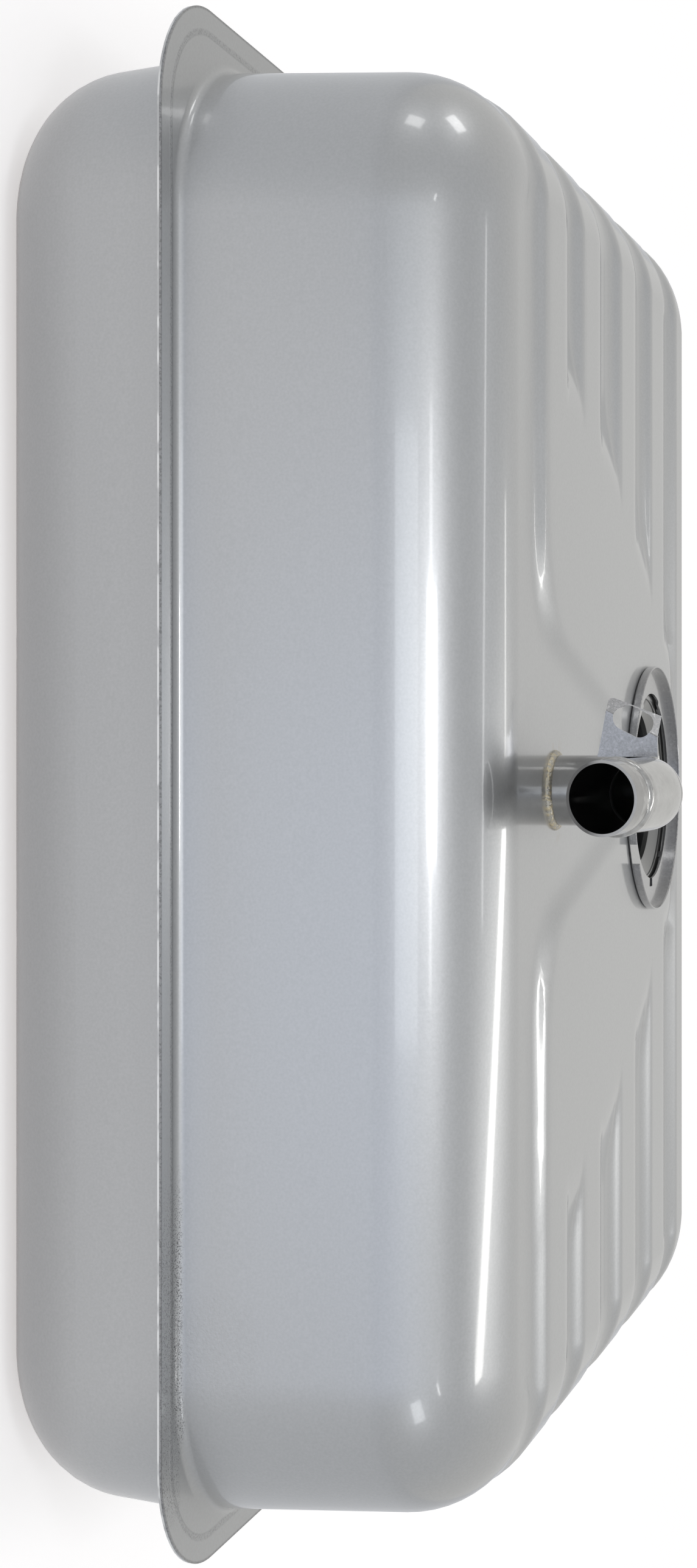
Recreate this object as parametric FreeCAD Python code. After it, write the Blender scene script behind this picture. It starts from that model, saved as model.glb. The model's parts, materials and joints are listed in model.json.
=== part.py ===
import FreeCAD, Part
import math
import os

# Driving dimensions, in millimetres. X is across the tank, Y runs front to back, Z is up from the base.
tank_depth = 548.0          # front wall to back wall at the seam
half_width = 361.0          # middle to each side wall of the upper shell, at the seam
left_flare = 13.0           # how much wider the left side is at the back
upper_height = 152.0        # seam to the low level of the top face
lower_height = 106.0        # base to seam
lower_extra_left = 11.0     # how far the lower shell stands out past the upper one at the sides
lower_extra_right = 3.0
sheet = 1.0                 # thickness of the drawn sheet
wall_draft = 2.4            # draft of the front and back walls, in degrees
side_draft = 5.0            # draft of the upper shell's side walls
base_side_draft = 3.0
plan_radius = 85.0          # vertical corners of both shells
top_radius = 60.0           # edge between walls and top face
base_radius = 56.0          # edge between walls and base
root_radius = 5.0           # walls into flange

flange_left = 385.0
flange_right = 375.5
flange_front = 18.0         # how far the flange stands out at the front and the back
flange_corner = 62.0

rib_rise = 5.5              # height of the raised bars over the low level
rib_run = 9.0               # width of their slopes
rib_fronts = (98.6, 182.0, 281.0, 373.0, 458.0)   # front crests, from the front wall
rib_width = 46.0
last_rib_width = 24.0
rib_tuck = 5.0              # how much of the rise a bar loses while it turns down over the edge
rib_fade = 36.0             # length over which a bar runs out on the side wall
rib_root = 8.0              # how deep the slopes go on, where a bar passes a corner of the plan
rib_inner_ends = (169.0, 130.0, 120.0, 75.0, -20.0)   # from the middle; the first four lie in the pad

pad_front_half = 214.0      # half width of the raised pad at the front bar
pad_waist_half = 190.0
pad_waist_y = 275.0
pad_shoulder_half = 140.0
pad_shoulder_y = 362.0
pad_back_half = 84.0
pad_back_y = 446.0
pad_run = 26.0              # width of the soft slopes at the sides of the pad
pad_front_round = 30.0      # corners of the pad's outline
pad_side_round = 60.0
pad_back_round = 45.0
recess_x = -7.5             # middle of the low field in front of the sender opening
recess_front_half = 80.0
recess_back_half = 35.0
recess_back_y = 280.0
recess_round = 50.0
recess_foot_round = 22.0

sender_x = 2.0
sender_y = 367.0
ring_outer = 74.0
ring_sheet = 1.2
ring_fillet = 2.0           # bend between the ring's flat and its rim
rim_height = 5.4
lip_radius = 55.0           # inner edge of the ring, over the well
notch_angle = 182.0         # wide notch in the lip, counted from the right
notch_span = 50.0
notch_depth = 2.3
slit_angle = -2.0            # short slit in the lip
slit_span = 8.0
slit_depth = 5.0
tab_angles = (40.0, 148.0)  # small tabs turned down from the lip
tab_span = 5.0
tab_drop = 1.4
drain_angle = -59.0         # gap in the rim that lets water run off
drain_span = 11.0
mouth_radius = 61.0         # stepped well pressed into the pad under the ring
mouth_depth = 1.8
seat_radius = 54.0          # from here the sheet slopes down to the opening
seat_depth = 3.6
opening_radius = 46.4       # opening with a short collar turned down
opening_depth = 7.4
collar_depth = 10.6

neck_x = -0.8
neck_y = 138.0
neck_outer = 18.0
neck_wall = 1.5
neck_inside = 7.0           # how far the tube reaches below the top face
braze_width = 2.6
bend_radius = 38.0
bend_angle = 102.0
axis_top = 53.4             # highest point of the bend's centre line over the low level
nose_length = 45.3          # straight end that the hose goes over
bead_setback = 17.0
bead_rise = 1.3
bead_round = 3.2            # radius of the bead's section
elbow_turn = 1.2            # degrees to the right of straight ahead

bracket_sheet = 1.5
bracket_front = 33.0        # from the neck's centre line forward to the plate
bracket_depth = 24.0        # length of the ear that lies against the bend
bracket_low = 29.3          # heights over the low level
bracket_high = 59.0
bracket_reach_low = 22.7    # plate width at its lower and upper edges
bracket_reach_high = 9.4
bracket_fold_lift = 4.3     # the fold starts this much over the lower edge
bracket_ear_drop = 9.0      # how much lower the ear's top is at its back end
bracket_wing_low = 7.2      # wing folded to the side and back, at its lower and upper edges
bracket_wing_high = 10.4
bracket_wing_back = 8.0
bracket_corner = 3.0
bracket_slot_width = 12.0   # rounded slot across the fold
bracket_slot_length = 20.0
bracket_slot_up = -0.4      # middle of the slot from the middle of the fold
bracket_slot_aside = 1.2

# Derived levels and positions.
front = -tank_depth / 2.0
seam = lower_height
low_level = lower_height + upper_height
high_level = low_level + rib_rise
wall_slope = math.tan(math.radians(wall_draft))
side_slope = math.tan(math.radians(side_draft))
base_side_slope = math.tan(math.radians(base_side_draft))
overlap = 4.0               # how far joined forms reach into each other
clear = 20.0                # how far cutting forms reach past what they cut
V = FreeCAD.Vector


# Flat outlines and lofts.

def moved_out(points, distances):
    """Each edge of an outline, given counter-clockwise, is moved out by its own distance."""
    lines = []
    for i, (x0, y0) in enumerate(points):
        x1, y1 = points[(i + 1) % len(points)]
        length = math.hypot(x1 - x0, y1 - y0)
        ux, uy = (x1 - x0) / length, (y1 - y0) / length
        lines.append((x0 + uy * distances[i], y0 - ux * distances[i], ux, uy))
    out = []
    for i in range(len(points)):
        ax, ay, aux, auy = lines[i - 1]
        bx, by, bux, buy = lines[i]
        cross = aux * buy - auy * bux
        k = ((bx - ax) * buy - (by - ay) * bux) / cross
        out.append((ax + aux * k, ay + auy * k))
    return out


def rounded_wire(points, radii, z):
    """Closed outline with an arc in each corner."""
    starts, ends, mids = [], [], []
    count = len(points)
    for i in range(count):
        px, py = points[i]
        ax, ay = points[i - 1]
        bx, by = points[(i + 1) % count]
        la, lb = math.hypot(ax - px, ay - py), math.hypot(bx - px, by - py)
        ua, ub = ((ax - px) / la, (ay - py) / la), ((bx - px) / lb, (by - py) / lb)
        half = math.acos(max(-1.0, min(1.0, ua[0] * ub[0] + ua[1] * ub[1]))) / 2.0
        reach = radii[i] / math.tan(half)
        sx, sy = ua[0] + ub[0], ua[1] + ub[1]
        ls = math.hypot(sx, sy)
        centre = radii[i] / math.sin(half)
        starts.append(V(px + ua[0] * reach, py + ua[1] * reach, z))
        ends.append(V(px + ub[0] * reach, py + ub[1] * reach, z))
        mids.append(V(px + sx / ls * (centre - radii[i]), py + sy / ls * (centre - radii[i]), z))
    edges = []
    for i in range(count):
        edges.append(Part.Arc(starts[i], mids[i], ends[i]).toShape())
        edges.append(Part.LineSegment(ends[i], starts[(i + 1) % count]).toShape())
    return Part.Wire(edges)


def lofted(wires):
    return Part.makeLoft(wires, True, True)


def fused(solids):
    return solids[0].fuse(solids[1:]).removeSplitter()


def edges_at(shape, z, inside=None):
    """Edges that lie in the level z, and inside a given face where there is one."""
    found = []
    for edge in shape.Edges:
        box = edge.BoundBox
        if abs(box.ZMin - z) > 0.01 or abs(box.ZMax - z) > 0.01:
            continue
        middle = edge.valueAt((edge.FirstParameter + edge.LastParameter) / 2.0)
        if inside is None or inside.isInside(middle, 0.001, True):
            found.append(edge)
    return found


# Outlines of the two shells and of their flange, at the seam.

def shell_points(extra_left, extra_right, flare):
    left, right = -half_width - extra_left, half_width + extra_right
    back = front + tank_depth
    return [(left, front), (right, front), (right, back), (left - flare, back)]


def flange_points():
    y0, y1 = front - flange_front, front + tank_depth + flange_front
    return [(-flange_left, y0), (flange_right, y0), (flange_right, y1), (-flange_left, y1)]


def side_x(y, side):
    """Side wall of the upper shell at the seam, at a distance y behind the front wall."""
    if side > 0:
        return half_width
    return half_width + left_flare * y / tank_depth


def corner_shift(y):
    """How far the side wall has turned inwards in the back corner, at a distance y behind the front wall."""
    past = max(0.0, y - (tank_depth - plan_radius))
    return plan_radius - math.sqrt(plan_radius ** 2 - past ** 2)


def drawn_form(points, side, height, edge_radius, inset):
    """Plain pressed form over the plane z = 0: flange plate, drafted walls, rounded edge, flat face."""
    foot = -sheet if inset else 0.0
    top = height - inset
    wires = []
    for z in (foot, top):
        ends, sides = -inset - wall_slope * z, -inset - side * z
        wires.append(rounded_wire(moved_out(points, [ends, sides] * 2), [plan_radius + ends] * 4, z))
    body = lofted(wires)
    body = body.makeFillet(edge_radius - inset, edges_at(body, top))
    spread = clear if inset else 0.0
    plate_wire = rounded_wire(moved_out(flange_points(), [spread] * 4), [flange_corner + spread] * 4, foot)
    plate = Part.Face(plate_wire).extrude(V(0, 0, sheet - inset - foot))
    form = body.fuse(plate).removeSplitter()
    wider = moved_out(points, [overlap] * 4)
    near = Part.Face(rounded_wire(wider, [plan_radius + overlap] * 4, sheet - inset))
    return form.makeFillet(root_radius + inset, edges_at(form, sheet - inset, near))


# Raised bars and pad of the top face; levels are over the seam.

def half_angle_shift(run, inset):
    return inset * math.tan(math.atan2(rib_rise, run) / 2.0)


def bar_profile(y0, y1, base_y, level, x, inset):
    """Section of a bar across its length: a trapezoid that reaches into the form below."""
    shift = half_angle_shift(rib_run, inset)
    wide = rib_run * (rib_rise + rib_root) / rib_rise
    top, low = level + rib_rise - inset, level - rib_root - inset
    ys = (y0 + shift - wide, y1 - shift + wide, y1 - shift, y0 + shift)
    zs = (low, low, top, top)
    ring = [V(x, base_y + y, z) for y, z in zip(ys, zs)]
    return Part.Face(Part.makePolygon(ring + ring[:1]))


def bar_side(y0, y1, x_in, side, inset):
    """One arm of a bar: straight over the top, round the edge, and fading down the side wall."""
    middle = (y0 + y1) / 2.0
    level = upper_height
    zc = level - top_radius
    wall = side_x(middle, side) - corner_shift(y1 + rib_run) - rib_tuck
    xc = side * (wall - side_slope * zc - top_radius / math.cos(math.radians(side_draft)))
    face = bar_profile(y0, y1, front, level, side * x_in, inset)
    arm = face.extrude(V(xc - side * x_in, 0, 0))
    start = bar_profile(y0, y1, front, level, xc, inset)
    turn = 90.0 - side_draft
    centre = V(xc, 0, zc)
    bend = start.revolve(centre, V(0, side, 0), turn)
    end = start.copy()
    end.rotate(centre, V(0, side, 0), turn)
    down = V(side * (side_slope * rib_fade - rib_rise), 0, -rib_fade)
    return [arm, bend, end.extrude(down)]


def pad_form(inset):
    """Raised pad round the sender opening, with the low field cut into its front."""
    y = front
    crest = rib_fronts[0]
    points = [(-pad_front_half, y + crest), (recess_x - recess_front_half, y + crest),
              (recess_x - recess_back_half, y + recess_back_y),
              (recess_x + recess_back_half, y + recess_back_y),
              (recess_x + recess_front_half, y + crest), (pad_front_half, y + crest),
              (pad_waist_half, y + pad_waist_y), (pad_shoulder_half, y + pad_shoulder_y),
              (pad_back_half, y + pad_back_y), (-pad_back_half, y + pad_back_y),
              (-pad_shoulder_half, y + pad_shoulder_y), (-pad_waist_half, y + pad_waist_y)]
    runs = [rib_run] * 5 + [pad_run] * 3 + [rib_run] + [pad_run] * 3
    front_radii = [pad_front_round, recess_round, recess_foot_round]
    radii = front_radii + front_radii[::-1]
    radii += [pad_side_round] * 2 + [pad_back_round] * 2 + [pad_side_round] * 2
    turns = [1, 1, -1, -1] + [1] * 8
    wires = []
    for z, part in ((upper_height - overlap - inset, (rib_rise + overlap) / rib_rise),
                    (upper_height + rib_rise - inset, 0.0)):
        outs = [run * part - half_angle_shift(run, inset) for run in runs]
        sizes = [radius + turn * (rib_run * part - half_angle_shift(rib_run, inset))
                 for radius, turn in zip(radii, turns)]
        wires.append(rounded_wire(moved_out(points, outs), sizes, z))
    return lofted(wires)


def raised_parts(inset):
    parts = [pad_form(inset)]
    for i, y0 in enumerate(rib_fronts):
        width = last_rib_width if i == len(rib_fronts) - 1 else rib_width
        for side in (-1, 1):
            parts += bar_side(y0, y0 + width, rib_inner_ends[i], side, inset)
    return parts


def upper_form(inset):
    points = shell_points(0.0, 0.0, left_flare)
    plain = drawn_form(points, side_slope, upper_height, top_radius, inset)
    return plain.fuse(raised_parts(inset))


def sender_room(grown):
    """Room of the stepped well; grown by the sheet thickness it is the outside of the well."""
    top = V(sender_x, front + sender_y, upper_height + rib_rise)
    mouth = Part.makeCylinder(mouth_radius + grown, mouth_depth + grown, top - V(0, 0, mouth_depth + grown))
    seat_end = seat_depth + grown
    seat = Part.makeCylinder(seat_radius + grown, seat_end, top - V(0, 0, seat_end))
    slope = Part.makeCone(opening_radius + grown, seat_radius + grown, opening_depth - seat_depth,
                          top - V(0, 0, opening_depth + grown))
    collar = Part.makeCylinder(opening_radius + grown, collar_depth, top - V(0, 0, collar_depth))
    return fused([mouth, seat, slope, collar])


def make_well():
    """Stepped well of the same sheet, with a slope down to the opening and a collar round it."""
    return sender_room(sheet).cut(sender_room(0))


def make_upper_shell():
    shell = upper_form(0.0).cut(upper_form(sheet))
    under = V(0, 0, upper_height - clear)
    neck_hole = Part.makeCylinder(neck_outer, 2 * clear, V(neck_x, front + neck_y, 0) + under)
    mouth = Part.makeCylinder(mouth_radius, 2 * clear, V(sender_x, front + sender_y, 0) + under)
    shell = shell.cut([neck_hole, mouth]).fuse(make_well()).removeSplitter()
    shell.translate(V(0, 0, seam))
    return shell


def make_lower_shell():
    points = shell_points(lower_extra_left, lower_extra_right, 0.0)
    form = drawn_form(points, base_side_slope, lower_height, base_radius, 0.0)
    hollow = drawn_form(points, base_side_slope, lower_height, base_radius, sheet)
    shell = form.cut(hollow).mirror(V(0, 0, 0), V(0, 0, 1))
    shell.translate(V(0, 0, seam))
    return shell


# Filler neck.

def neck_point(y_ahead, z):
    return V(neck_x, front + neck_y - y_ahead, low_level + z)


def tube_run(radius, below, bead):
    """Round section carried along the neck: riser, bend and nose. The riser starts below the top face."""
    rise_end = axis_top - bend_radius
    riser = Part.makeCylinder(radius, rise_end + below, neck_point(0, -below))
    section = Part.Face(Part.Wire(Part.makeCircle(radius, neck_point(0, rise_end), V(0, 0, 1))))
    bend = section.revolve(neck_point(bend_radius, rise_end), V(1, 0, 0), bend_angle)
    over = math.radians(bend_angle)
    start = neck_point(bend_radius * (1.0 - math.cos(over)), rise_end + bend_radius * math.sin(over))
    way = V(0, -math.sin(over), math.cos(over))
    solids = [riser, bend, Part.makeCylinder(radius, nose_length, start, way)]
    if bead:
        at = start + way * (nose_length - bead_setback)
        solids.append(Part.makeTorus(radius + bead_rise - bead_round, bead_round, at, way))
    else:
        solids.append(Part.makeCylinder(radius, overlap, start + way * (nose_length - overlap / 2.0), way))
    return fused(solids)


def turned(shape):
    shape.rotate(neck_point(0, 0), V(0, 0, 1), elbow_turn)
    return shape


def make_elbow():
    room = tube_run(neck_outer - neck_wall, neck_inside + overlap, False)
    return turned(tube_run(neck_outer, neck_inside, True).cut(room).removeSplitter())


def make_braze():
    """Bead of braze round the tube where it stands on the top face."""
    bead = Part.makeTorus(neck_outer, braze_width, neck_point(0, 0), V(0, 0, 1))
    tube = Part.makeCylinder(neck_outer, 2 * clear, neck_point(0, -clear))
    under = Part.makeCylinder(neck_outer + clear, clear, neck_point(0, -clear))
    return bead.cut([tube, under])


def slab(corners, way):
    """Flat sheet between given corners."""
    return Part.Face(Part.makePolygon(corners + corners[:1])).extrude(way)


def make_bracket():
    """Ear against the bend, slanted plate in front of it, and a wing folded back, with a slot in the fold."""
    x, y = neck_x - neck_outer, front + neck_y - bracket_front
    low, high = low_level + bracket_low, low_level + bracket_high
    foot = V(x - bracket_reach_low, y, low + bracket_fold_lift)
    tip = V(x - bracket_reach_high, y, high)
    plate = slab([V(x, y, low), V(x, y, high), tip, foot], V(0, bracket_sheet, 0))
    back = y + bracket_depth
    ear = slab([V(x, y, low), V(x, y, high), V(x, back, high - bracket_ear_drop), V(x, back, low)],
               V(-bracket_sheet, 0, 0))
    low_out = V(-bracket_wing_low, bracket_wing_back, 0)
    high_out = V(-bracket_wing_high, bracket_wing_back * bracket_wing_high / bracket_wing_low, 0)
    along = (tip - foot).normalize()
    through = along.cross(low_out).normalize() * -bracket_sheet
    wing = slab([foot, tip, tip + high_out, foot + low_out], through)
    corner = [edge for edge in wing.Edges if (edge.CenterOfMass - foot - low_out).Length < bracket_sheet]
    wing = wing.makeFillet(bracket_corner, corner)
    knee_radius = bracket_sheet / 2.0
    knee = Part.makeCylinder(knee_radius, (tip - foot).Length, foot + V(0, knee_radius, 0), along)
    return turned(plate.fuse([ear, wing, knee]).cut(bracket_slot(foot, tip)).removeSplitter())


def bracket_slot(foot, tip):
    """Room of the slot: two round ends and the straight part between them, along the fold."""
    along = (tip - foot).normalize()
    aside = V(-along.z, 0, along.x)
    middle = (foot + tip) * 0.5 + along * bracket_slot_up + aside * bracket_slot_aside - V(0, overlap, 0)
    radius = bracket_slot_width / 2.0
    step = along * (bracket_slot_length / 2.0 - radius)
    corners = [middle - step - aside * radius, middle + step - aside * radius,
               middle + step + aside * radius, middle - step + aside * radius]
    ends = [Part.makeCylinder(radius, clear, middle + step * k, V(0, 1, 0)) for k in (-1, 1)]
    return ends + [slab(corners, V(0, clear, 0))]


# Retainer of the sender opening.

def sector(r0, r1, z0, z1, start, span):
    """Part of a flat ring between two radii and two levels; angles in degrees from the right."""
    outer = Part.makeCylinder(r1, z1 - z0, V(0, 0, z0), V(0, 0, 1), span)
    piece = outer.cut(Part.makeCylinder(r0, z1 - z0 + 2 * overlap, V(0, 0, z0 - overlap)))
    piece.rotate(V(0, 0, 0), V(0, 0, 1), start)
    return piece


def make_sender_ring():
    """Round channel: outer rim with a drain gap, flat lip with a wide notch, a slit and small tabs."""
    t = ring_sheet
    rim_top = rim_height - t / 2.0
    plate = sector(lip_radius, ring_outer, 0, t, 0, 360)
    channel = fused([plate, sector(ring_outer - t, ring_outer, 0, rim_top, 0, 360)])
    foot = [edge for edge in edges_at(channel, 0) if edge.Vertexes[0].Point.Length > ring_outer - t]
    channel = channel.makeFillet(ring_fillet, foot)
    solids = [channel, Part.makeTorus(ring_outer - t / 2.0, t / 2.0, V(0, 0, rim_top))]
    for angle in tab_angles:
        solids.append(sector(lip_radius, lip_radius + t, -tab_drop, 0, angle - tab_span / 2.0, tab_span))
    drain = sector(ring_outer - 2 * t, ring_outer + t, t, rim_height + t,
                   drain_angle - drain_span / 2.0, drain_span)
    cuts = [drain, lip_cut(notch_angle, notch_span, notch_depth), lip_cut(slit_angle, slit_span, slit_depth)]
    ring = fused(solids).cut(cuts).removeSplitter()
    ring.translate(V(sender_x, front + sender_y, high_level))
    return ring


def lip_cut(angle, span, depth):
    """Room cut outwards from the ring's inner edge."""
    start = angle - span / 2.0
    return sector(lip_radius - depth, lip_radius + depth, -ring_sheet, 2 * ring_sheet, start, span)


def main():
    os.makedirs("parts", exist_ok=True)
    nodes = {
        "lower_shell": make_lower_shell(),
        "upper_shell": make_upper_shell(),
        "filler_elbow": make_elbow(),
        "neck_braze": make_braze(),
        "hose_bracket": make_bracket(),
        "sender_ring": make_sender_ring(),
    }
    for name, shape in nodes.items():
        box = shape.BoundBox
        print(name, shape.isValid(), len(shape.Solids), round(shape.Volume),
              [round(c, 1) for c in (box.XMin, box.XMax, box.YMin, box.YMax, box.ZMin, box.ZMax)])
        shape.exportStep("parts/" + name + ".step")


main()
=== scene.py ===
import json
import math

import bmesh
import bpy
from mathutils import Matrix, Vector


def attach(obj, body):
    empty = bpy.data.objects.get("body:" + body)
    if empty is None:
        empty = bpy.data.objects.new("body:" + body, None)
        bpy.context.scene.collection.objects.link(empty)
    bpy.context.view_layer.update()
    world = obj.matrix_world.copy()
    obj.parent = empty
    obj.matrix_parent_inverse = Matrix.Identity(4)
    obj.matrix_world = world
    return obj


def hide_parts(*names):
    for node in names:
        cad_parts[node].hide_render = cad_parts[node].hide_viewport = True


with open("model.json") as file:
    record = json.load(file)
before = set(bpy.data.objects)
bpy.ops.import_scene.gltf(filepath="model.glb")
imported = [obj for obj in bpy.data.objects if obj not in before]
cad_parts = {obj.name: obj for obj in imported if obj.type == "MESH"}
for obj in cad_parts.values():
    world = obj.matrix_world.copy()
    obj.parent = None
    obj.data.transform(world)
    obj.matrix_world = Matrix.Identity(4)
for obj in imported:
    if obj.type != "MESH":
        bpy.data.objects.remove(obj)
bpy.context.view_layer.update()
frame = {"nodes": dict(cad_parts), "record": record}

# Camera
PHOTO_WIDTH, PHOTO_HEIGHT = 1145, 2576
FOCAL_PIXELS = 3600.0
AXIS_X, AXIS_Y = 575.0, 1225.0          # where the camera's axis meets the picture
CAMERA_PLACE = Vector((-0.0236, -1.2315, 0.5141))
CAMERA_TILT = 18.5
SENSOR = 36.0


def add_camera():
    """The picture lies on its side: up in the world is to the right in the picture."""
    data = bpy.data.cameras.new("photo_camera")
    data.sensor_fit = 'VERTICAL'
    data.sensor_height = SENSOR
    data.lens = FOCAL_PIXELS / PHOTO_HEIGHT * SENSOR
    data.shift_x = (PHOTO_WIDTH / 2 - AXIS_X) / PHOTO_HEIGHT
    data.shift_y = (AXIS_Y - PHOTO_HEIGHT / 2) / PHOTO_HEIGHT
    data.clip_start = 0.05
    data.dof.use_dof = False
    camera = bpy.data.objects.new("photo_camera", data)
    bpy.context.scene.collection.objects.link(camera)
    tilt = math.radians(CAMERA_TILT)
    ahead = Vector((0.0, math.cos(tilt), -math.sin(tilt)))
    over = Vector((0.0, math.sin(tilt), math.cos(tilt)))
    side = Vector((-1.0, 0.0, 0.0))
    turn = Matrix((over, side, -ahead)).transposed().to_4x4()
    camera.matrix_world = Matrix.Translation(CAMERA_PLACE) @ turn
    bpy.context.scene.camera = camera


# Nodes
MIX_FACTOR, MIX_FIRST, MIX_SECOND, MIX_RESULT = 0, 6, 7, 2     # colour sockets of a Mix node


class Signal:
    """A number or colour that varies over a surface; sums and products of it add Math nodes."""

    def __init__(self, tree, socket):
        self.tree, self.socket = tree, socket

    def calculated(self, operation, first, second):
        node = self.tree.nodes.new('ShaderNodeMath')
        node.operation = operation
        for place, value in zip(node.inputs, (first, second)):
            connect(self.tree, place, value)
        return Signal(self.tree, node.outputs[0])

    def __add__(self, other):
        return self.calculated('ADD', self, other)

    def __sub__(self, other):
        return self.calculated('SUBTRACT', self, other)

    def __rsub__(self, other):
        return self.calculated('SUBTRACT', other, self)

    def __mul__(self, other):
        return self.calculated('MULTIPLY', self, other)

    __radd__ = __add__
    __rmul__ = __mul__

    def size(self):
        return self.calculated('ABSOLUTE', self, 0.0)

    def root(self):
        return self.calculated('SQRT', self, 0.0)

    def highest(self, other):
        return self.calculated('MAXIMUM', self, other)


def connect(tree, place, value):
    if isinstance(value, Signal):
        tree.links.new(value.socket, place)
    elif isinstance(value, tuple) and len(value) == 3 and place.type == 'RGBA':
        place.default_value = (*value, 1.0)
    else:
        place.default_value = value


class Graph:
    """Node tree of a material or of the world."""

    def __init__(self, tree):
        self.tree = tree

    def node(self, kind, settings, inputs):
        node = self.tree.nodes.new("ShaderNode" + kind)
        for name, value in settings.items():
            setattr(node, name, value)
        for name, value in inputs.items():
            connect(self.tree, node.inputs[name], value)
        return node

    def add(self, kind, settings, inputs, output=0):
        return Signal(self.tree, self.node(kind, settings, inputs).outputs[output])

    def place(self):
        return self.add("TexCoord", {}, {}, "Object")

    def axes(self, vector):
        outputs = self.node("SeparateXYZ", {}, {0: vector}).outputs
        return [Signal(self.tree, out) for out in outputs]

    def vector(self, operation, first, second=(0.0, 0.0, 0.0), output="Vector"):
        return self.add("VectorMath", {"operation": operation}, {0: first, 1: second}, output)

    def noise(self, vector, scale, detail, roughness=0.5):
        """Cloudy signal around the middle of 0 and 1; the scale is waves per metre."""
        return self.add("TexNoise", {}, {"Vector": vector, "Scale": scale, "Detail": detail,
                                         "Roughness": roughness})

    def tinted(self, factor, first, second):
        return self.add("Mix", {"data_type": 'RGBA'},
                        {MIX_FACTOR: factor, MIX_FIRST: first, MIX_SECOND: second}, MIX_RESULT)

    def ramped(self, signal, low, high):
        """0 at low, 1 at high and soft between them."""
        return self.add("MapRange", {"interpolation_type": 'SMOOTHSTEP'},
                        {"Value": signal, "From Min": low, "From Max": high})

    def faded(self, signal, low, high):
        """1 at low, 0 at high and soft between them."""
        return 1.0 - self.ramped(signal, low, high)

    def pattern(self, vector, scale, detail, roughness, low, high):
        """Patches: 0 where the noise is under low, 1 where it is over high."""
        return self.ramped(self.noise(vector, scale, detail, roughness), low, high)


class Finish(Graph):
    """A material with one main shader whose sockets are then set by name."""

    def __init__(self, name):
        self.material = bpy.data.materials.new(name)
        self.material.use_nodes = True
        super().__init__(self.material.node_tree)
        self.shader = self.tree.nodes["Principled BSDF"]

    def give(self, **values):
        for name, value in values.items():
            socket = name.replace("_", " ").title().replace("Ior", "IOR")
            connect(self.tree, self.shader.inputs[socket], value)

    def relief(self, height, distance):
        """Small bumps; the distance is the height in metres of one unit."""
        return self.add("Bump", {}, {"Height": height, "Distance": distance, "Strength": 1.0}, "Normal")


# Room
WHITE = (1.0, 1.0, 1.0)
BLACK = (0.0, 0.0, 0.0)
ROOM_LEVEL = 0.62                       # light of the room on dull surfaces
FRONT_LEVEL = 1.0                       # this and the next three are what glossy surfaces see
SIDE_LEVEL = 0.60
BACKDROP_LEVEL = 0.635
CEILING_LEVEL = 0.58
FRONT_TINT = (0.88, 0.94, 1.08)
ROOM_TINT = (0.97, 0.985, 1.0)
WARM_TINT = (1.0, 0.995, 0.975)
AHEAD_ASIDE = 0.14                      # the front is best lit a little to the right
AHEAD_X = (0.0, 0.46)                   # parts of a direction between which a level comes or goes
AHEAD_Y = (-0.3, -0.8)
AHEAD_Z = (0.1, 0.95)
BEHIND_Y = (-0.1, 0.45)
BEHIND_Z = (0.6, 1.0)
CEILING_Z = (0.6, 0.95)


def ray_kinds(graph):
    """Whether a ray comes from the camera, and whether it comes off a glossy or clear surface."""
    rays = graph.node("LightPath", {}, {}).outputs
    seen, glossy, passed = (Signal(graph.tree, rays[name])
                            for name in ("Is Camera Ray", "Is Glossy Ray", "Is Transmission Ray"))
    return seen, glossy.highest(passed)


def add_world():
    """Plain white for the camera, one level for dull surfaces and soft steps for glossy ones."""
    world = bpy.data.worlds.new("studio")
    world.use_nodes = True
    graph = Graph(world.node_tree)
    seen, mirrored = ray_kinds(graph)
    x, y, z = graph.axes(graph.add("TexCoord", {}, {}, "Generated"))
    behind = graph.ramped(y, *BEHIND_Y) * graph.faded(z, *BEHIND_Z)
    ahead = graph.ramped(y, *AHEAD_Y) * graph.faded((x - AHEAD_ASIDE).size(), *AHEAD_X)
    low_ahead = ahead * graph.faded(z, *AHEAD_Z)
    ceiling = graph.ramped(z, *CEILING_Z)
    mirror_level = behind * (BACKDROP_LEVEL - SIDE_LEVEL) + low_ahead * (FRONT_LEVEL - SIDE_LEVEL)
    mirror_level = mirror_level + SIDE_LEVEL + ceiling * (CEILING_LEVEL - SIDE_LEVEL)
    level = mirrored * mirror_level + (1.0 - mirrored) * ROOM_LEVEL
    level = level * (1.0 - seen) + seen
    tint = graph.tinted(low_ahead, graph.tinted(behind, ROOM_TINT, WARM_TINT), FRONT_TINT)
    background = world.node_tree.nodes["Background"]
    connect(graph.tree, background.inputs["Color"], graph.tinted(seen, tint, WHITE))
    connect(graph.tree, background.inputs["Strength"], level)
    bpy.context.scene.world = world


# Lamps
LAMP_TARGET = Vector((0.0, -0.1, 0.2))
BOX_COLOUR = (0.97, 0.98, 1.0)
HALO_COLOUR = (0.90, 0.95, 1.0)
RIGHT_COLOUR = (0.94, 0.97, 1.0)
TUBE_COLOUR = (1.0, 0.99, 0.96)
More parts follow.
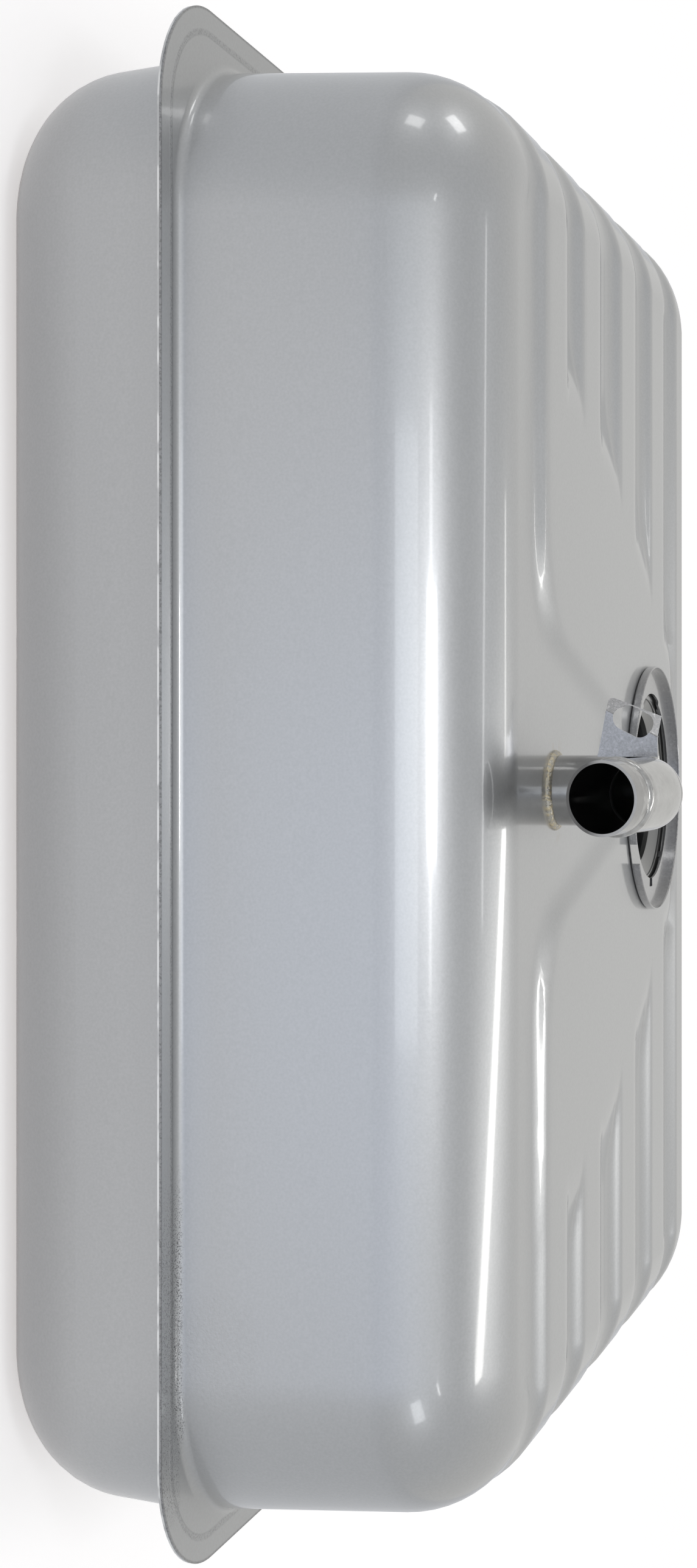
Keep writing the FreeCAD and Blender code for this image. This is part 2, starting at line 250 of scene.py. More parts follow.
# Degrees to the right of the front, degrees up, distance, width, height, radiance and colour
BOX_LAMPS = {
    "front_box": (-2.0, 44.0, 2.2, 0.36, 0.34, 13.0, BOX_COLOUR),
    "front_wide": (-3.0, 43.0, 2.25, 0.85, 0.10, 2.6, WHITE),
    "front_halo": (-1.0, 22.0, 2.3, 0.9, 0.8, 1.4, HALO_COLOUR),
    "front_left_strip": (-34.0, 42.0, 2.35, 0.16, 0.05, 7.0, WHITE),
    "front_right_strip": (37.0, 44.0, 2.35, 0.26, 0.06, 6.0, WHITE),
    "left_high_box": (-96.0, 27.0, 2.2, 0.30, 0.40, 3.6, WHITE),
    "left_low_box": (-77.0, 11.0, 2.2, 0.30, 0.36, 2.6, WHITE),
    "right_box": (43.0, 25.0, 2.2, 0.50, 0.30, 2.6, RIGHT_COLOUR)}
# Both ends, thickness, radiance and colour
TUBE_LAMPS = {
    "left_tube": ((0.0, 1.44, 2.17), (-0.43, 1.44, 2.17), 0.08, 3.6, TUBE_COLOUR),
    "right_tube": ((0.06, 1.44, 2.17), (0.94, -0.22, 2.35), 0.16, 6.5, TUBE_COLOUR),
    "over_tube": ((-0.83, 0.32, 2.5), (0.25, 0.12, 2.55), 0.07, 3.0, WHITE)}


def put_lamp(name, place, turn, wide, tall, radiance, colour):
    data = bpy.data.lights.new(name, 'AREA')
    data.shape = 'RECTANGLE'
    data.size, data.size_y = wide, tall
    data.energy = radiance * wide * tall * math.pi
    data.color = colour
    lamp = bpy.data.objects.new(name, data)
    lamp.location = place
    lamp.rotation_euler = turn
    bpy.context.scene.collection.objects.link(lamp)


def add_box_lamp(name, azimuth, elevation, reach, wide, tall, radiance, colour):
    """A soft box that stands in a direction from the lamps' target and faces it."""
    turn, rise = math.radians(azimuth), math.radians(elevation)
    way = Vector((math.sin(turn) * math.cos(rise), -math.cos(turn) * math.cos(rise), math.sin(rise)))
    facing = way.to_track_quat('Z', 'Y').to_euler()
    put_lamp(name, LAMP_TARGET + way * reach, facing, wide, tall, radiance, colour)


def add_tube_lamp(name, start, end, thick, radiance, colour):
    """A long lamp between two places over the tank."""
    middle = (Vector(start) + Vector(end)) / 2.0
    along = (Vector(end) - Vector(start)).normalized()
    facing = (middle - LAMP_TARGET).normalized()
    across = facing.cross(along).normalized()
    turn = Matrix((along, across, along.cross(across))).transposed().to_euler()
    put_lamp(name, middle, turn, (Vector(end) - Vector(start)).length, thick, radiance, colour)


def add_lamps():
    for name, values in BOX_LAMPS.items():
        add_box_lamp(name, *values)
    for name, values in TUBE_LAMPS.items():
        add_tube_lamp(name, *values)


# Floor
FLOOR_REACH = 8.0
PAPER_SHADE = (0.72, 0.73, 0.74)
PAPER_DULL = 0.9
PAPER_LIFT = (0.48, 0.46, 0.45)         # brings the lit paper up to white in the picture
PAPER_FAR = (0.68, 0.66, 0.65)
PAPER_FAR_RAMP = (1.2, 5.0)
GLOW_ROUND = (0.07, 0.07, 0.08)         # what glossy surfaces see of the paper besides its own light
GLOW_AHEAD = (0.34, 0.39, 0.50)
GLOW_NEAR = (0.23, 0.21, 0.20)
GLOW_NEAR_FADE = (0.30, 0.60)           # sideways from the tank's middle
GLOW_AHEAD_RAMP = (0.52, 0.85)          # distances in front of the tank's middle
GLOW_NARROW, GLOW_WIDE = 0.02, 0.62     # aside, as a share of the distance ahead
GLOW_LEAST_AHEAD = 0.1


def paper_glow(paper, x, y):
    """Light of the paper for glossy surfaces: most in front of the tank, least at its sides."""
    width = (0.0 - y).highest(GLOW_LEAST_AHEAD) * (GLOW_WIDE - GLOW_NARROW)
    inside = paper.faded((x + y * AHEAD_ASIDE).size() + y * GLOW_NARROW, 0.0, width)
    near = paper.tinted(paper.ramped(x.size(), *GLOW_NEAR_FADE), GLOW_NEAR, GLOW_ROUND)
    return paper.tinted(paper.ramped(0.0 - y, *GLOW_AHEAD_RAMP) * inside, near, GLOW_AHEAD)


def floor_paper():
    paper = Finish("floor_paper")
    seen, mirrored = ray_kinds(paper)
    x, y = paper.axes(paper.place())[:2]
    lift = paper.tinted(mirrored, BLACK, paper_glow(paper, x, y))
    far = paper.ramped((x * x + y * y).root(), *PAPER_FAR_RAMP)
    shown = paper.tinted(far, PAPER_LIFT, PAPER_FAR)
    paper.give(base_color=PAPER_SHADE, roughness=PAPER_DULL, emission_strength=1.0,
               emission_color=paper.tinted(seen, lift, shown))
    return paper.material


def add_floor():
    mesh = bpy.data.meshes.new("floor")
    shape = bmesh.new()
    bmesh.ops.create_grid(shape, x_segments=2, y_segments=2, size=FLOOR_REACH)
    shape.to_mesh(mesh)
    shape.free()
    floor = bpy.data.objects.new("floor", mesh)
    floor.data.materials.append(floor_paper())
    bpy.context.scene.collection.objects.link(floor)


# Sizes
TANK_DEPTH = 0.548
HALF_WIDTH = 0.361
LEFT_FLARE = 0.013
SEAM = 0.106
SHELL_HEIGHT = 0.152
SHEET = 0.001
WALL_DRAFT = math.radians(2.4)
SIDE_DRAFT = math.radians(5.0)
PLAN_RADIUS = 0.085
TOP_RADIUS = 0.060
ROOT_RADIUS = 0.005
FLANGE_LEFT = 0.385
FLANGE_RIGHT = 0.3755
FLANGE_FRONT = 0.018
FLANGE_CORNER = 0.062
RIB_RISE = 0.0055
RIB_RUN = 0.0095            # a little wider than in the sheet's section, as the slopes are soft
SLOPE_MIDDLE = 0.0045       # from a crest out to the middle of its slope
RIB_WIDTH = 0.046
LAST_RIB_WIDTH = 0.024
RIB_TUCK = 0.005
RIB_FADE = 0.036
RIB_FRONTS = (0.0986, 0.182, 0.281, 0.373, 0.458)      # from the front wall
RIB_INNER_ENDS = (0.169, 0.130, 0.120, 0.075, 0.0)
PAD_RUN = 0.026
PAD_OUTLINE = ((0.214, 0.0986), (0.190, 0.275), (0.140, 0.362), (0.084, 0.446))
PAD_SOFT = 0.05
RECESS_X = -0.0075
RECESS_OUTLINE = ((0.080, 0.0986), (0.035, 0.280))
RECESS_ROUND = 0.05
RECESS_FOOT_ROUND = 0.022
MEETING_SOFT = 0.3          # roundness where a bar meets the pad, as a share of the rise
FOOT_SOFT = 0.55            # the same at the foot and at the crest of a slope
CREST_SOFT = 0.35
SENDER = Vector((0.002, 0.093))
SENDER_OPEN = 0.066         # the flat top has no faces nearer than this
NECK = Vector((-0.0008, -0.136))
NECK_OPEN = 0.013
# Radius, and height from the top of the pad
WELL_PROFILE = ((0.072, 0.0), (0.0622, 0.0), (0.061, -0.0005), (0.061, -0.0018), (0.0548, -0.0019),
                (0.054, -0.0024), (0.054, -0.0034), (0.0532, -0.0041), (0.0472, -0.0071),
                (0.0464, -0.0078), (0.0464, -0.0106))

shell_front = -TANK_DEPTH / 2.0

# Steps
ARC_STEPS = 18              # on half a corner in plan
WELL_STEPS = 120
ROOT_STEPS, WALL_STEPS = 5, 6
SHOULDER_STEPS = 14         # even steps to the rounded edge
EVEN_LINES = 12             # lines that are cut at those steps, from its foot
FINER, FINER_LINES = 4, 10  # steps to an even one at its top, and the lines cut there
FINE_STEP = 0.0018
WIDE_STEP = 0.007
FOOT_REACH = 1.2 * RIB_RUN  # how far from a crest the points stay fine, outwards and inwards
CREST_REACH = 0.005
FIELD_SIDE = 0.055          # from the low field's middle to the middle of its slanted sides
FIELD_REACH = 0.035
SHARP_ANGLE = math.radians(32.0)

# Shades
SHELL_SHADE = (0.472, 0.477, 0.482)
TUBE_SHADE = (0.60, 0.595, 0.58)
RING_SHADE = (0.33, 0.33, 0.335)
TUBE_WORN = (0.24, 0.235, 0.225)
# Dark grey of the painted dark reflections on the tube's riser and collar and of the painted shade at its
# nose
PAINTED_SHADE_DARK = (0.06, 0.058, 0.055)
# Colour of the painted shadow inside the filler tube
INSIDE_PAINTED_SHADOW = (0.004, 0.004, 0.004)
SCUFF_SHADE = (0.10, 0.10, 0.10)
RIM_SHADE = (0.10, 0.10, 0.105)
# Colour of the painted highlight along the lower flange's rim
PAINTED_RIM_HIGHLIGHT = (0.85, 0.85, 0.84)
STAIN_SHADE = (0.40, 0.35, 0.24)
# Grey of the painted shade in the sender's well; also mixed faintly into the flange
WELL_SHADE = (0.22, 0.22, 0.215)
GRAIN_SHADE = (0.14, 0.14, 0.145)
SPOT_SHADE = (0.50, 0.495, 0.50)
BRAZE_GREY = (0.46, 0.44, 0.39)
BRAZE_YELLOW = (0.62, 0.54, 0.38)
SHELL_DULL, TUBE_DULL, RING_DULL = 0.37, 0.20, 0.26

# Noises: waves per metre, detail and roughness
CLOUDS = (5.0, 3.0)
FLAKES = (750.0, 1.0)
PEEL = (260.0, 2.0, 0.4)
GRAIN = (900.0, 1.0)
SPECKLES = (700.0, 2.0, 0.7)
LUMPS = (420.0, 3.0, 0.6)

# Patterns: the same, and the levels between which a pattern comes up
# Patches that break up the painted highlight on the lower flange's rim
RIM_HIGHLIGHT_PATCHES = (60.0, 2.0, 0.6, 0.42, 0.56)
SCUFF_SPECKS = (1500.0, 2.0, 0.7, 0.52, 0.62)
STAIN_PATCHES = (90.0, 3.0, 0.6, 0.48, 0.62)
STREAKS = (150.0, 3.0, 0.6, 0.40, 0.66)
SPOTS = (420.0, 3.0, 0.7, 0.52, 0.70)
COARSE_GRAIN = (1000.0, 2.0, 0.7, 0.42, 0.60)
FLECK_LEVELS = (0.50, 0.58)
LUMP_LEVELS = (0.42, 0.62)

# Coat
MIDDLE = 0.5                # of a noise, and of a mix of two shades
SHADE_SPREAD = 0.16         # how far the two shades of the coat are from its own
CLOUD_TINT, FLAKE_TINT = 0.14, 0.5
CLOUD_DULL = 0.08
RELIEF_UNIT = 0.0001
PEEL_HEIGHT, GRAIN_HEIGHT = 0.28, 0.16  # in relief units


def silver_coat(name, shade, dull, detail):
    """Silver-grey stoving coat over pressed steel: flakes, orange peel and faint clouds."""
    coat = Finish(name)
    at = coat.place()
    clouds = coat.noise(at, *CLOUDS)
    flakes = coat.noise(at, *FLAKES)
    lift = (clouds - MIDDLE) * CLOUD_TINT + (flakes - MIDDLE) * FLAKE_TINT
    darker = tuple(c * (1.0 - SHADE_SPREAD) for c in shade)
    lighter = tuple(c * (1.0 + SHADE_SPREAD) for c in shade)
    colour = coat.tinted(lift + MIDDLE, darker, lighter)
    roughness = (clouds - MIDDLE) * CLOUD_DULL + dull
    height = coat.noise(at, *PEEL) * PEEL_HEIGHT + coat.noise(at, *GRAIN) * GRAIN_HEIGHT
    colour, roughness, height = detail(coat, at, colour, roughness, height)
    coat.give(base_color=colour, metallic=0.82, roughness=roughness, coat_weight=1.0,
              coat_roughness=0.085, coat_ior=1.7, normal=coat.relief(height, RELIEF_UNIT))
    return coat.material


# Flange
OVER_FLANGE = (SEAM + 0.002, SEAM + 0.006)
UNDER_FLANGE = (SEAM - 0.004, SEAM - 0.001)
SEAM_LINE = (SEAM - 0.0001, SEAM + 0.0001)
WELD_INSET = 0.012
WELD_FADE = (0.00088, 0.0022)           # from the weld's middle
RIM_FADE = (0.0006, 0.0016)             # from the rim inwards
FLANGE_TINT, FLANGE_DULL = 0.14, 0.06
RIM_TINT, RIM_FLECKS = 0.5, 0.3
# Least strength and spread of the painted highlight on the lower flange's rim
RIM_HIGHLIGHT_TINT, RIM_HIGHLIGHT_SPREAD = 0.15, 0.7
WELD_TINT, WELD_FLECKS, WELD_DULL, WELD_HEIGHT = 0.12, 0.3, 0.10, 3.0


def flange_depth(x, y):
    """Distance inwards from the outline of the flange, which is a rectangle with round corners."""
    over_x = ((x - (FLANGE_RIGHT - FLANGE_LEFT) / 2.0).size()
              - ((FLANGE_RIGHT + FLANGE_LEFT) / 2.0 - FLANGE_CORNER)).highest(0.0)
    over_y = (y.size() - (TANK_DEPTH / 2.0 + FLANGE_FRONT - FLANGE_CORNER)).highest(0.0)
    return FLANGE_CORNER - (over_x * over_x + over_y * over_y).root()


def flange_masks(coat, x, y, z):
    """Where the flange, its weld line and its rim are."""
    depth = flange_depth(x, y)
    flange = coat.faded(z, *OVER_FLANGE) * coat.ramped(z, *UNDER_FLANGE)
    weld = flange * coat.faded((depth - WELD_INSET).size(), *WELD_FADE)
    rim = flange * coat.faded(depth, *RIM_FADE)
    return flange, weld, rim


# Marks, and painted shade in the well
SCUFF_BACK = (-0.272, -0.268)
SCUFF_UP = (SEAM + 0.0004, SEAM + 0.0012)
SCUFF_START = (0.16, 0.22)
SCUFF_END = (0.33, 0.35)
SCUFF_TINT, SCUFF_DULL, SCUFF_HEIGHT = 0.85, 0.2, 2.0
PATCH_PLACE = (0.262, 0.130)            # across and up
PATCH_SIZE = (0.036, 0.024)
PATCH_FADE = (0.6, 1.1)                 # as a share of its size
PATCH_BACK = (-0.262, -0.258)
PATCH_DULL, PATCH_HEIGHT = 0.04, 1.6
STAIN_FADE = (0.020, 0.030)             # from the neck's axis
STAIN_TINT = 0.5
# Reach of the painted shade in the sender's well, sideways and downwards
WELL_SHADOW_FADE = (0.060, 0.062)              # from the sender's axis
WELL_SHADOW_DOWN = (0.2635, 0.2628)


def away_from(coat, at, place):
    """Distance from an upright line through an (x, y) place."""
    x, y = coat.axes(at)[:2]
    dx, dy = x - place[0], y - place[1]
    return (dx * dx + dy * dy).root()


def scuff_mask(coat, at, x, y, z):
    """Rubbed specks at the foot of the front wall, on its right."""
    scuff = coat.faded(z, *OVER_FLANGE) * coat.faded(y, *SCUFF_BACK) * coat.ramped(z, *SCUFF_UP)
    scuff = scuff * coat.ramped(x, *SCUFF_START) * coat.faded(x, *SCUFF_END)
    return scuff * coat.pattern(at, *SCUFF_SPECKS)


def patch_mask(coat, x, y, z):
    """Oval of grain on the right of the front wall."""
    across = (x - PATCH_PLACE[0]) * (1.0 / PATCH_SIZE[0])
    up = (z - PATCH_PLACE[1]) * (1.0 / PATCH_SIZE[1])
    return coat.faded((across * across + up * up).root(), *PATCH_FADE) * coat.faded(y, *PATCH_BACK)


def shell_detail(coat, at, colour, roughness, height):
    """Weld line, dark upper rim and painted highlight on the lower rim of the flange, scuffs, a grainy
    patch, stains at the neck, painted shade in the well.
    """
    x, y, z = coat.axes(at)
    speckles = coat.noise(at, *SPECKLES)
    flecks = coat.ramped(speckles, *FLECK_LEVELS)
    flange, weld, rim = flange_masks(coat, x, y, z)
    over_seam = coat.ramped(z, *SEAM_LINE)
    # Patchy strength of the painted highlight on the lower flange's rim
    rim_highlight = coat.pattern(at, *RIM_HIGHLIGHT_PATCHES) * RIM_HIGHLIGHT_SPREAD + RIM_HIGHLIGHT_TINT
    scuff = scuff_mask(coat, at, x, y, z)
    patch = patch_mask(coat, x, y, z)
    stain = coat.faded(away_from(coat, at, NECK), *STAIN_FADE) * coat.pattern(at, *STAIN_PATCHES)
    # Painted shade in the sender's well, a recess below the pad
    well = coat.ramped(z, *WELL_SHADOW_DOWN) * coat.faded(away_from(coat, at, SENDER), *WELL_SHADOW_FADE)
    for factor, shade in ((flange * FLANGE_TINT, WELL_SHADE),
                          (rim * over_seam * (flecks * RIM_FLECKS + RIM_TINT), RIM_SHADE),
                          # Painted highlight along the rim of the lower flange
                          (rim * (1.0 - over_seam) * rim_highlight, PAINTED_RIM_HIGHLIGHT),
                          (weld * (flecks * WELD_FLECKS + WELD_TINT), RIM_SHADE),
                          (scuff * SCUFF_TINT, SCUFF_SHADE),
                          (stain * STAIN_TINT, STAIN_SHADE),
                          # Painted shade in the sender's well
                          (well, WELL_SHADE)):
        colour = coat.tinted(factor, colour, shade)
    roughness = roughness + patch * PATCH_DULL + weld * WELD_DULL + scuff * SCUFF_DULL + flange * FLANGE_DULL
    height = height + weld * WELD_HEIGHT + patch * speckles * PATCH_HEIGHT + scuff * speckles * SCUFF_HEIGHT
    return colour, roughness, height


# Tube
# Reach of the painted shadow inside the bore
INSIDE_SHADOW_FADE = (0.01655, 0.01665)        # from the nose's axis, just beyond the wall of the bore
INSIDE_SHADOW_START = (-0.060, -0.050)         # this and the next two are along the axis from the nose's middle
NOSE_START = (-0.0012, -0.0006)
COLLAR_START = (-0.018, -0.015)
RISER_FADE = (0.292, 0.302)             # heights
# Strength of the painted dark reflection on the riser and of the painted shade at the nose's end
RISER_PAINTED_SHADE, NOSE_PAINTED_SHADE = 0.6, 0.45
# Strength of the painted dark reflection on the collar, and how much of it follows the streaks
COLLAR_PAINTED_REFLECTION, COLLAR_REFLECTION_STREAKS = 0.15, 0.3
STREAK_TINT, STREAK_DULL, STREAK_HEIGHT = 0.15, 0.05, 0.2
INSIDE_DULL = 0.3


def tube_detail(coat, at, colour, roughness, height):
    """Painted near-black shadow inside the tube, painted dark reflections on the riser and the collar,
    painted shade on the front half of the nose, faint streaks.
    """
    nose = next(m for m in frame["record"]["mounts"] if m["name"] == "hose_nose")
    axis = tuple(nose["axis"])
    from_nose = coat.vector('SUBTRACT', at, tuple(nose["pos_m"]))
    radius = coat.vector('LENGTH', coat.vector('CROSS_PRODUCT', from_nose, axis), output="Value")
    along = coat.vector('DOT_PRODUCT', from_nose, axis, "Value")
    # Painted shadow inside the bore
    inside = coat.faded(radius, *INSIDE_SHADOW_FADE) * coat.ramped(along, *INSIDE_SHADOW_START)
    front = coat.ramped(along, *NOSE_START) * (1.0 - inside)
    # Painted dark reflection on the lower riser
    riser = coat.faded(coat.axes(at)[2], *RISER_FADE)
    streaks = coat.pattern(at, *STREAKS)
    # Painted dark reflection on the collar between the bead and the mouth
    collar = coat.ramped(along, *COLLAR_START) * (streaks * COLLAR_REFLECTION_STREAKS + COLLAR_PAINTED_REFLECTION)
    colour = coat.tinted(streaks * STREAK_TINT, colour, TUBE_WORN)
    # Painted dark reflections on riser and collar, and painted shade at the nose's end
    colour = coat.tinted((riser * RISER_PAINTED_SHADE + front * NOSE_PAINTED_SHADE).highest(collar), colour, PAINTED_SHADE_DARK)
    # Painted near-black shadow inside the tube
    colour = coat.tinted(inside, colour, INSIDE_PAINTED_SHADOW)
    roughness = roughness + inside * INSIDE_DULL + streaks * STREAK_DULL
    return colour, roughness, height + streaks * STREAK_HEIGHT


# Plates and braze
GRAIN_TINT = 0.35
SPOT_TINT, SPOT_GLOSS, SPOT_HEIGHT = 0.5, 0.08, 0.3
BRAZE_DULL, BRAZE_SPREAD = 0.16, 0.3
BRAZE_RELIEF = 0.0009


def plate_detail(coat, at, colour, roughness, height):
    """Grainy coat of the bracket and the ring, with rubbed spots."""
    spots = coat.pattern(at, *SPOTS) * SPOT_TINT
    colour = coat.tinted(coat.pattern(at, *COARSE_GRAIN) * GRAIN_TINT, colour, GRAIN_SHADE)
    colour = coat.tinted(spots, colour, SPOT_SHADE)
    return colour, roughness - spots * SPOT_GLOSS, height + spots * SPOT_HEIGHT


def braze_finish():
    braze = Finish("braze")
    lumps = braze.noise(braze.place(), *LUMPS)
    colour = braze.tinted(braze.ramped(lumps, *LUMP_LEVELS), BRAZE_GREY, BRAZE_YELLOW)
    braze.give(base_color=colour, metallic=0.9, roughness=lumps * BRAZE_SPREAD + BRAZE_DULL,
               normal=braze.relief(lumps, BRAZE_RELIEF))
    return braze.material


# Relief
def soft_least(a, b, soft):
    """Smaller of two values, with a rounded passage between them."""
    shared = max(soft - abs(a - b), 0.0) / soft
    return min(a, b) - shared * shared * soft / 4.0


def soft_most(a, b, soft):
    return -soft_least(-a, -b, soft)


def inside_line(x, y, line):
    """Distance inwards from a line between two (x, y) points that runs to the back."""
    (x0, y0), (x1, y1) = line
    return ((x1 - x0) * (y - y0) - (y1 - y0) * (x - x0)) / math.hypot(x1 - x0, y1 - y0)


def slope_level(inside):
    """0 at the foot of a slope and 1 at its top, from the distance inside its crest."""
    return 0.5 + (inside + SLOPE_MIDDLE) / RIB_RUN


def pad_level(x, y):
    """1 on the raised pad and 0 round it and on the low field in its front; y is from the front wall."""
    field = soft_least(inside_line(abs(x - RECESS_X), y, RECESS_OUTLINE), RECESS_OUTLINE[1][1] - y,
                       RECESS_FOOT_ROUND)
    level = slope_level(soft_least(y - PAD_OUTLINE[0][1], -field, RECESS_ROUND))
    side = PAD_OUTLINE[0][0]
    for line in zip(PAD_OUTLINE, PAD_OUTLINE[1:]):
        side = soft_least(side, inside_line(abs(x), y, line), PAD_SOFT)
    level = soft_least(level, 1.0 + side / PAD_RUN, 1.0)
    return soft_least(level, slope_level(PAD_OUTLINE[-1][1] - y), 1.0)


def rib_end(start):
    """Back crest of the bar with a front crest at start."""
    return start + (LAST_RIB_WIDTH if start == RIB_FRONTS[-1] else RIB_WIDTH)


def bar_level(x, y):
    level = -1.0
    for start, inner_end in zip(RIB_FRONTS, RIB_INNER_ENDS):
        if abs(x) >= inner_end:
            level = max(level, slope_level(min(y - start, rib_end(start) - y)))
    return level


def relief_height(x, y):
    """How far the pressed relief stands over the plain form."""
    level = soft_most(pad_level(x, y - shell_front), bar_level(x, y - shell_front), MEETING_SOFT)
    return RIB_RISE * soft_least(soft_most(level, 0.0, FOOT_SOFT), 1.0, CREST_SOFT)


# Shell
def wall_profile(draft, part, share):
    """Distance inwards from the seam outline, height over the seam and slope of the surface's normal."""
    if part == "root":
        angle = math.pi / 2.0 + (draft - math.pi / 2.0) * share
        level = SHEET + ROOT_RADIUS
        middle = level * math.tan(draft) - ROOT_RADIUS / math.cos(draft)
        return middle + ROOT_RADIUS * math.cos(angle), level - ROOT_RADIUS * math.sin(angle), angle
    if part == "shoulder":
        angle = draft + (math.pi / 2.0 - draft) * share
        level = SHELL_HEIGHT - TOP_RADIUS
        middle = level * math.tan(draft) + TOP_RADIUS / math.cos(draft)
        return middle - TOP_RADIUS * math.cos(angle), level + TOP_RADIUS * math.sin(angle), angle
    low, high = wall_profile(draft, "root", 1.0), wall_profile(draft, "shoulder", 0.0)
    return tuple(a + (b - a) * share for a, b in zip(low, high))


def relief_share(part, share, angle):
    """What is left of a bar's height as it turns over the edge and runs out down the wall."""
    if part == "shoulder":
        return 1.0 - RIB_TUCK / RIB_RISE * math.cos(angle)
    if part == "root":
        return 0.0
    fade_start = 1.0 - RIB_FADE / (SHELL_HEIGHT - TOP_RADIUS)
    return (1.0 - RIB_TUCK / RIB_RISE) * max(0.0, (share - fade_start) / (1.0 - fade_start))


def shell_corners(ends, sides):
    """Corners of the shell's outline, moved inwards at its ends and at its sides."""
    near, far = shell_front + ends, -shell_front - ends
    lefts = [sides - HALF_WIDTH - LEFT_FLARE * (y - shell_front) / TANK_DEPTH for y in (near, far)]
    right = HALF_WIDTH - sides
    return [Vector(c) for c in ((lefts[0], near), (right, near), (right, far), (lefts[1], far))]


def spread(low, high, near_detail):
    """Shares between 0 and 1 for points from low to high, closer together near detail."""
    shares, at = [], low
    while True:
        at += FINE_STEP if near_detail(at) else WIDE_STEP
        if at > high - FINE_STEP / 2.0:
            return shares
        shares.append((at - low) / (high - low))


def near_slope(y):
    """Whether a distance from the front wall is on a bar's slope or just inside its crest."""
    return any(start - FOOT_REACH < y < start + CREST_REACH
               or rib_end(start) - CREST_REACH < y < rib_end(start) + FOOT_REACH
               for start in RIB_FRONTS)


def near_field(x):
    """Whether a place across lies over the slanted sides of the low field."""
    return abs(abs(x - RECESS_X) - FIELD_SIDE) < FIELD_REACH


def outline(corners, radius, across, along):
    """Points and outward directions round an outline, counter-clockwise from the middle of its first arc."""
    arcs = []
    for i, corner in enumerate(corners):
        before, after = (corners[i - 1] - corner).normalized(), (corners[(i + 1) % 4] - corner).normalized()
        half = before.angle(after) / 2.0
        centre = corner + (before + after).normalized() * radius / math.sin(half)
        reach = radius / math.tan(half)
        arcs.append((centre, corner + before * reach, corner + after * reach))
    found = []
    for i, (centre, start, end) in enumerate(arcs):
        for k in range(2 * ARC_STEPS + 1):
            way = (start - centre).normalized().slerp((end - centre).normalized(), k / (2.0 * ARC_STEPS))
            found.append((centre + way * radius, way))
        to = arcs[(i + 1) % 4][1]
        run = (to - end).normalized()
        shares = (across, along)[i % 2]
        for share in (shares if i < 2 else [1.0 - s for s in reversed(shares)]):
            found.append((end.lerp(to, share), Vector((run.y, -run.x))))
    return found[ARC_STEPS:] + found[:ARC_STEPS]


def shell_ring(mesh, part, share, across, along):
    """One closed line of points round the shell."""
    ends, sides = wall_profile(WALL_DRAFT, part, share), wall_profile(SIDE_DRAFT, part, share)
    points = []
    for place, way in outline(shell_corners(ends[0], sides[0]), PLAN_RADIUS - ends[0], across, along):
        height, angle = (side + (end - side) * way.y ** 2 for end, side in zip(ends[1:], sides[1:]))
        raised = relief_height(place.x, place.y) * relief_share(part, share, angle)
        flat = place + way * math.cos(angle) * raised
        points.append(mesh.verts.new((*flat, SEAM + height + math.sin(angle) * raised)))
    return points


def shell_steps():
    """Parts of the wall's profile and shares of them for its closed lines, from the flange up."""
    steps = [("root", k / ROOT_STEPS) for k in range(ROOT_STEPS + 1)]
    steps += [("wall", k / WALL_STEPS) for k in range(1, WALL_STEPS)]
    steps += [("shoulder", k / SHOULDER_STEPS) for k in range(EVEN_LINES)]
    finer = FINER * SHOULDER_STEPS
    return steps + [("shoulder", 1.0 - k / finer) for k in reversed(range(FINER_LINES))]


def shell_top(mesh, border, columns, rows):
    """Flat middle of the shell between four border lines, with the pressed relief."""
    front_line, right_line = border[:columns + 1], border[columns:columns + rows + 1]
    back_line = border[columns + rows:2 * columns + rows + 1][::-1]
    left_line = (border[2 * columns + rows:] + border[:1])[::-1]
    lines = [[vert.co.copy() for vert in line] for line in (front_line, right_line, back_line, left_line)]
    near, right, far, left = lines
    grid = [front_line]
    for j in range(1, rows):
        v = (left[j].y - left[0].y) / (left[-1].y - left[0].y)
        row = [left_line[j]]
        for i in range(1, columns):
            u = (near[i].x - near[0].x) / (near[-1].x - near[0].x)
            place = near[i] * (1.0 - v) + far[i] * v + left[j] * (1.0 - u) + right[j] * u
            place -= (near[0].lerp(near[-1], u)).lerp(far[0].lerp(far[-1], u), v)
            place.z = SEAM + SHELL_HEIGHT + relief_height(place.x, place.y)
            row.append(mesh.verts.new(place))
        grid.append(row + [right_line[j]])
    grid.append(back_line)
    for low, high in zip(grid, grid[1:]):
        for i in range(columns):
            middle = (low[i].co.xy + high[i + 1].co.xy) / 2.0
            if (middle - SENDER).length > SENDER_OPEN and (middle - NECK).length > NECK_OPEN:
                mesh.faces.new((low[i], low[i + 1], high[i + 1], high[i]))


def band(mesh, lower, upper):
    """Faces between two closed lines of points."""
    for i in range(len(lower)):
        k = (i + 1) % len(lower)
        mesh.faces.new((lower[i], lower[k], upper[k], upper[i]))


def well(mesh):
    """Stepped and sloped seat of the sender opening."""
    rings = []
    for radius, depth in WELL_PROFILE:
        turns = [2.0 * math.pi * k / WELL_STEPS for k in range(WELL_STEPS)]
        rings.append([mesh.verts.new((SENDER.x + radius * math.cos(t), SENDER.y + radius * math.sin(t),
                                      SEAM + SHELL_HEIGHT + RIB_RISE + depth)) for t in turns])
    for outer, inner in zip(rings, rings[1:]):
        band(mesh, outer, inner)


def flange_corners():
    near, far = shell_front - FLANGE_FRONT, FLANGE_FRONT - shell_front
    corners = ((-FLANGE_LEFT, near), (FLANGE_RIGHT, near), (FLANGE_RIGHT, far), (-FLANGE_LEFT, far))
    return [Vector(c) for c in corners]


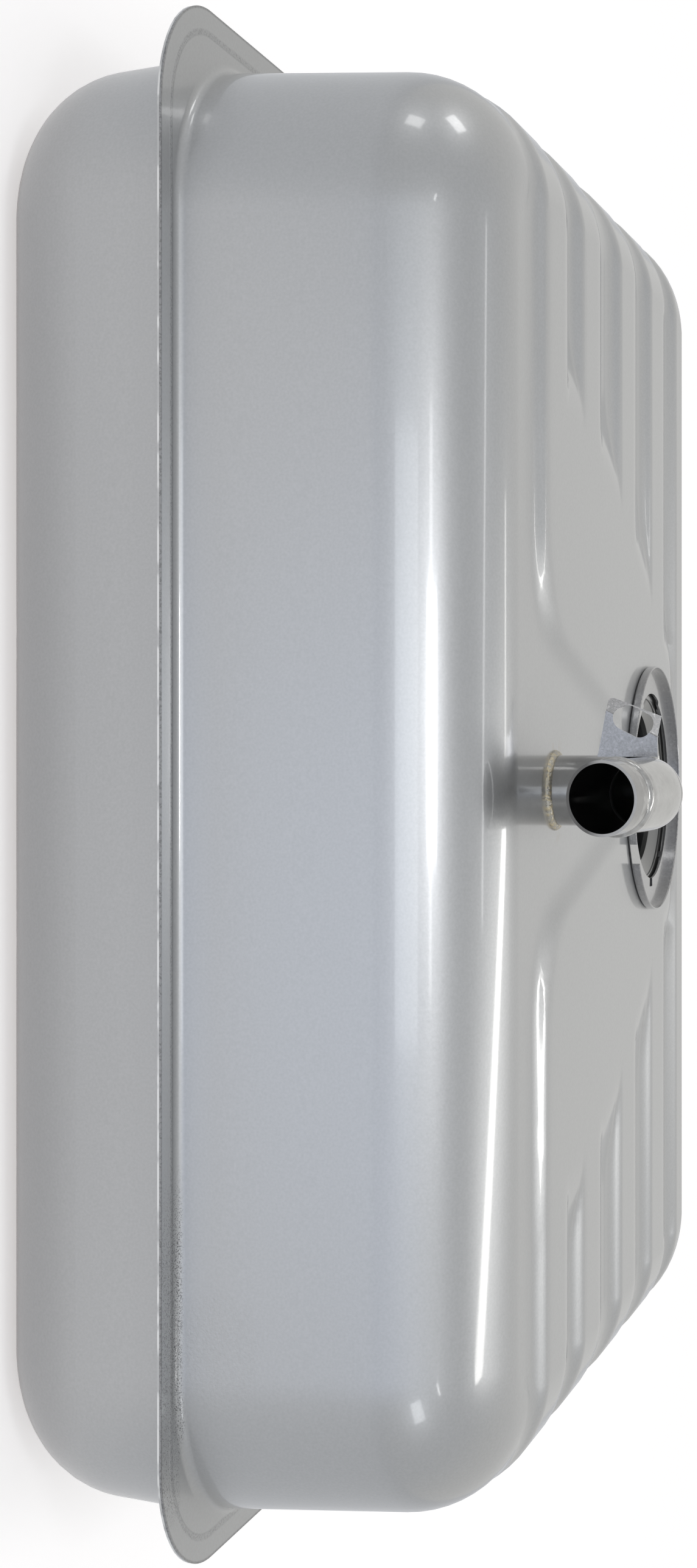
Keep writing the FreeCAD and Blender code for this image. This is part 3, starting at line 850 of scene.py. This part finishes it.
def shell_surface(mesh):
    """Outer face of the sheet: flange, walls, rounded edge, top and well."""
    across = spread(-HALF_WIDTH + PLAN_RADIUS, HALF_WIDTH - PLAN_RADIUS, near_field)
    along = spread(PLAN_RADIUS, TANK_DEPTH - PLAN_RADIUS, near_slope)
    rim = outline(flange_corners(), FLANGE_CORNER, across, along)
    rings = [[mesh.verts.new((*place, SEAM + SHEET)) for place, way in rim]]
    rings += [shell_ring(mesh, part, share, across, along) for part, share in shell_steps()]
    for lower, upper in zip(rings, rings[1:]):
        band(mesh, lower, upper)
    shell_top(mesh, rings[-1], len(across) + 2 * ARC_STEPS + 1, len(along) + 2 * ARC_STEPS + 1)
    well(mesh)
    bmesh.ops.delete(mesh, geom=[v for v in mesh.verts if not v.link_faces], context='VERTS')


def pressed_shell(finish):
    """Upper shell as one pressed sheet, with round feet and tight crests on its relief."""
    mesh = bmesh.new()
    shell_surface(mesh)
    bmesh.ops.solidify(mesh, geom=mesh.faces[:], thickness=SHEET)
    bmesh.ops.recalc_face_normals(mesh, faces=mesh.faces[:])
    for face in mesh.faces:
        face.smooth = True
    for line in mesh.edges:
        line.smooth = not line.is_manifold or line.calc_face_angle() < SHARP_ANGLE
    data = bpy.data.meshes.new("pressed_upper_shell")
    mesh.to_mesh(data)
    mesh.free()
    shell = bpy.data.objects.new("pressed_upper_shell", data)
    data.materials.append(finish)
    bpy.context.scene.collection.objects.link(shell)
    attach(shell, "root")
    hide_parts("upper_shell")


# Scene
add_camera()
add_world()
add_lamps()
add_floor()
shell_coat = silver_coat("shell_coat", SHELL_SHADE, SHELL_DULL, shell_detail)
pressed_shell(shell_coat)
finishes = {"lower_shell": shell_coat, "upper_shell": shell_coat,
            "filler_elbow": silver_coat("tube_coat", TUBE_SHADE, TUBE_DULL, tube_detail),
            "hose_bracket": silver_coat("bracket_coat", RING_SHADE, RING_DULL, plate_detail),
            "sender_ring": silver_coat("ring_coat", RING_SHADE, RING_DULL, plate_detail),
            "neck_braze": braze_finish()}
for name, finish in finishes.items():
    node = frame["nodes"][name]
    node.data.materials.clear()
    node.data.materials.append(finish)

bpy.context.scene.view_settings.view_transform = 'Standard'
